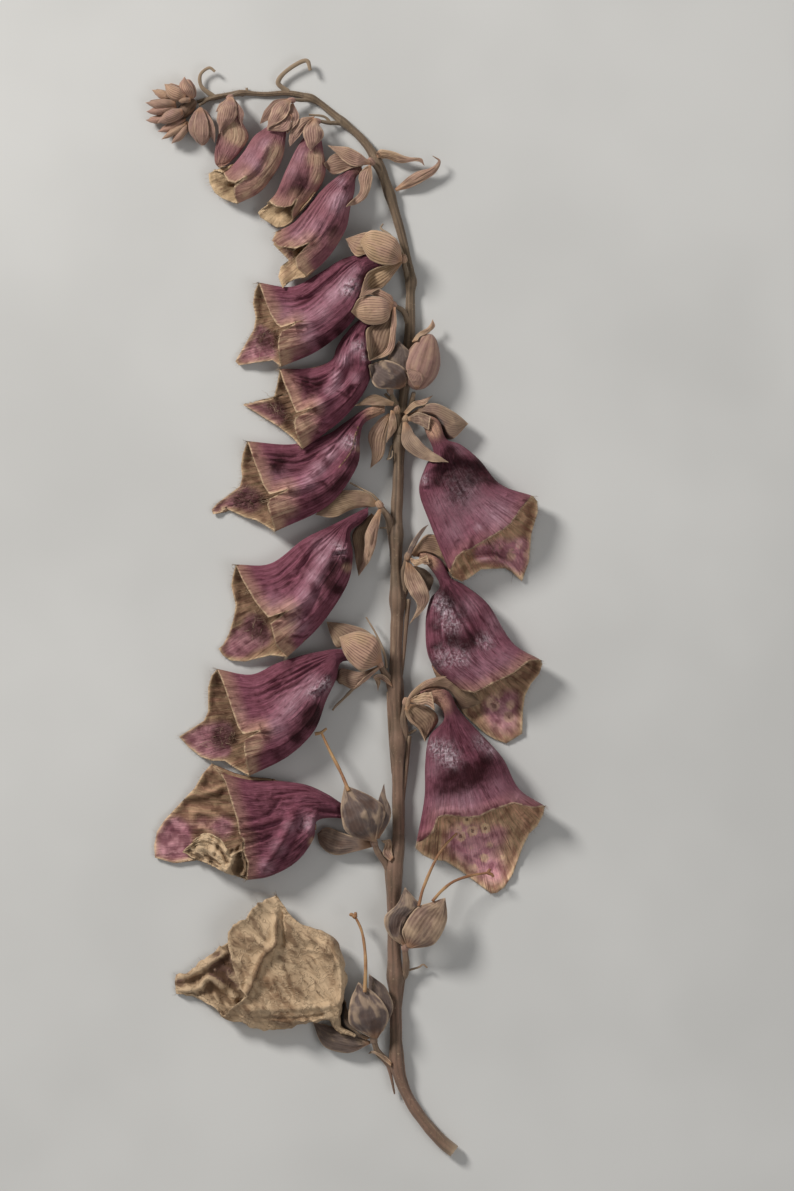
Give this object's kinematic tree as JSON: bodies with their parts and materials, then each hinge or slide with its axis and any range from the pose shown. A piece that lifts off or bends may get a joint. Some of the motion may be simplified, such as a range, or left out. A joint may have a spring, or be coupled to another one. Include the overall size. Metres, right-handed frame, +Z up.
{
  "type": "foxglove flower spike",
  "caption": "Cut and dried foxglove flower spike lying flat: a ridged stem that arches over at the tip, with hanging bells, calyces, buds and bracts.",
  "frame": {"origin": "middle of the spike's footprint, on the surface it lies on", "axes": "+Y runs from the cut end of the stem to the arched tip, +Z is up from the surface, +X is to the right seen from above"},
  "size_m": [0.0996, 0.2736, 0.0119],
  "materials": {
    "stem": "matt, ridged lengthwise",
    "corolla_01": "matt, finely wrinkled",
    "corolla_03": "matt, finely wrinkled",
    "corolla_04": "matt, finely wrinkled",
    "corolla_05": "matt, finely wrinkled",
    "corolla_06": "matt, finely wrinkled",
    "corolla_07": "matt, finely wrinkled",
    "corolla_08": "matt, finely wrinkled",
    "corolla_09": "matt, finely wrinkled",
    "corolla_12": "matt, finely wrinkled",
    "corolla_13": "matt, finely wrinkled",
    "corolla_14": "matt, finely wrinkled",
    "corolla_15": "matt, finely wrinkled",
    "corolla_16": "matt, finely wrinkled",
    "corolla_17": "matt, finely wrinkled",
    "calyx_01": "matt, fine parallel veins",
    "calyx_02": "matt, fine parallel veins",
    "calyx_03": "matt, fine parallel veins",
    "calyx_04": "matt, fine parallel veins",
    "calyx_05": "matt, fine parallel veins",
    "calyx_06": "matt, fine parallel veins",
    "calyx_07": "matt, fine parallel veins",
    "calyx_08": "matt, fine parallel veins",
    "calyx_09": "matt, fine parallel veins",
    "calyx_11": "matt, fine parallel veins",
    "calyx_12": "matt, fine parallel veins",
    "calyx_13": "matt, fine parallel veins",
    "calyx_14": "matt, fine parallel veins",
    "calyx_15": "matt, fine parallel veins",
    "calyx_16": "matt, fine parallel veins",
    "calyx_17": "matt, fine parallel veins",
    "capsule_10": "matt",
    "bud_18": "matt",
    "tip_buds": "matt",
    "style_01": "matt",
    "style_02a": "matt",
    "style_02b": "matt",
    "style_03": "matt"
  },
  "bodies": {
    "root": {"stem": "stem", "corolla_01": "corolla_01", "corolla_03": "corolla_03", "corolla_04": "corolla_04", "corolla_05": "corolla_05", "corolla_06": "corolla_06", "corolla_07": "corolla_07", "corolla_08": "corolla_08", "corolla_09": "corolla_09", "corolla_12": "corolla_12", "corolla_13": "corolla_13", "corolla_14": "corolla_14", "corolla_15": "corolla_15", "corolla_16": "corolla_16", "corolla_17": "corolla_17", "calyx_01": "calyx_01", "calyx_02": "calyx_02", "calyx_03": "calyx_03", "calyx_04": "calyx_04", "calyx_05": "calyx_05", "calyx_06": "calyx_06", "calyx_07": "calyx_07", "calyx_08": "calyx_08", "calyx_09": "calyx_09", "calyx_11": "calyx_11", "calyx_12": "calyx_12", "calyx_13": "calyx_13", "calyx_14": "calyx_14", "calyx_15": "calyx_15", "calyx_16": "calyx_16", "calyx_17": "calyx_17", "capsule_10": "capsule_10", "bud_18": "bud_18", "tip_buds": "tip_buds", "style_01": "style_01", "style_02a": "style_02a", "style_02b": "style_02b", "style_03": "style_03"}
  },
  "joints": []
}
